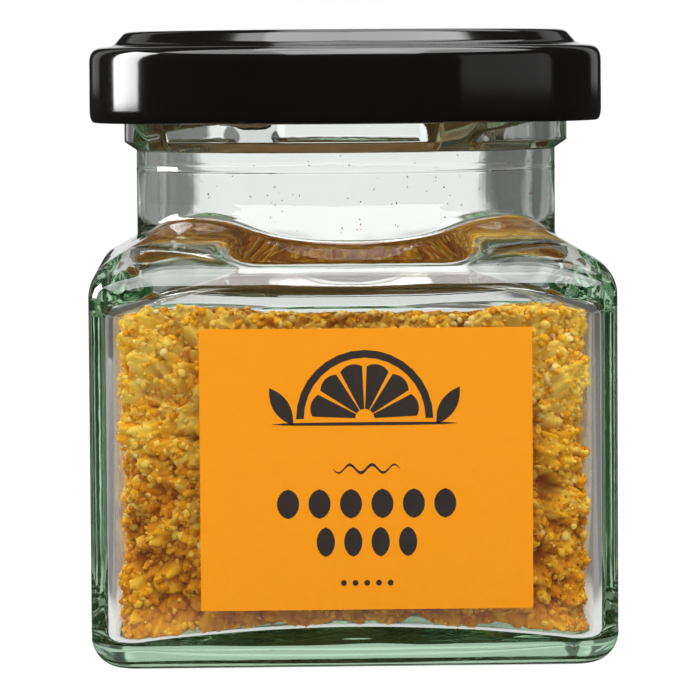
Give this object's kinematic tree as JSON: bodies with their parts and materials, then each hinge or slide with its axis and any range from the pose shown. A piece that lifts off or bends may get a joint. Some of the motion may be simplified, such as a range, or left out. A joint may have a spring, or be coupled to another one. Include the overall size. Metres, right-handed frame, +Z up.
{
  "type": "glass jar of dried orange peel",
  "caption": "Square clear glass spice jar with hipped shoulder, round black twist-off lid and orange front label, filled with coarse granulated dried orange peel.",
  "frame": {"origin": "centre of the jar's underside, at the bottom of the object's box", "axes": "+Z up along the jar's axis, -Y towards the side with the label, +X to the right of the label as it is read"},
  "size_m": [0.056, 0.0563, 0.0669],
  "materials": {
    "clear_glass": "polished",
    "black_lacquer": "gloss",
    "orange_paper": "matte",
    "dried_peel": "matte"
  },
  "bodies": {
    "root": {"jar_glass": "clear_glass", "lid": "black_lacquer", "label": "orange_paper", "peel": "dried_peel"}
  },
  "joints": []
}
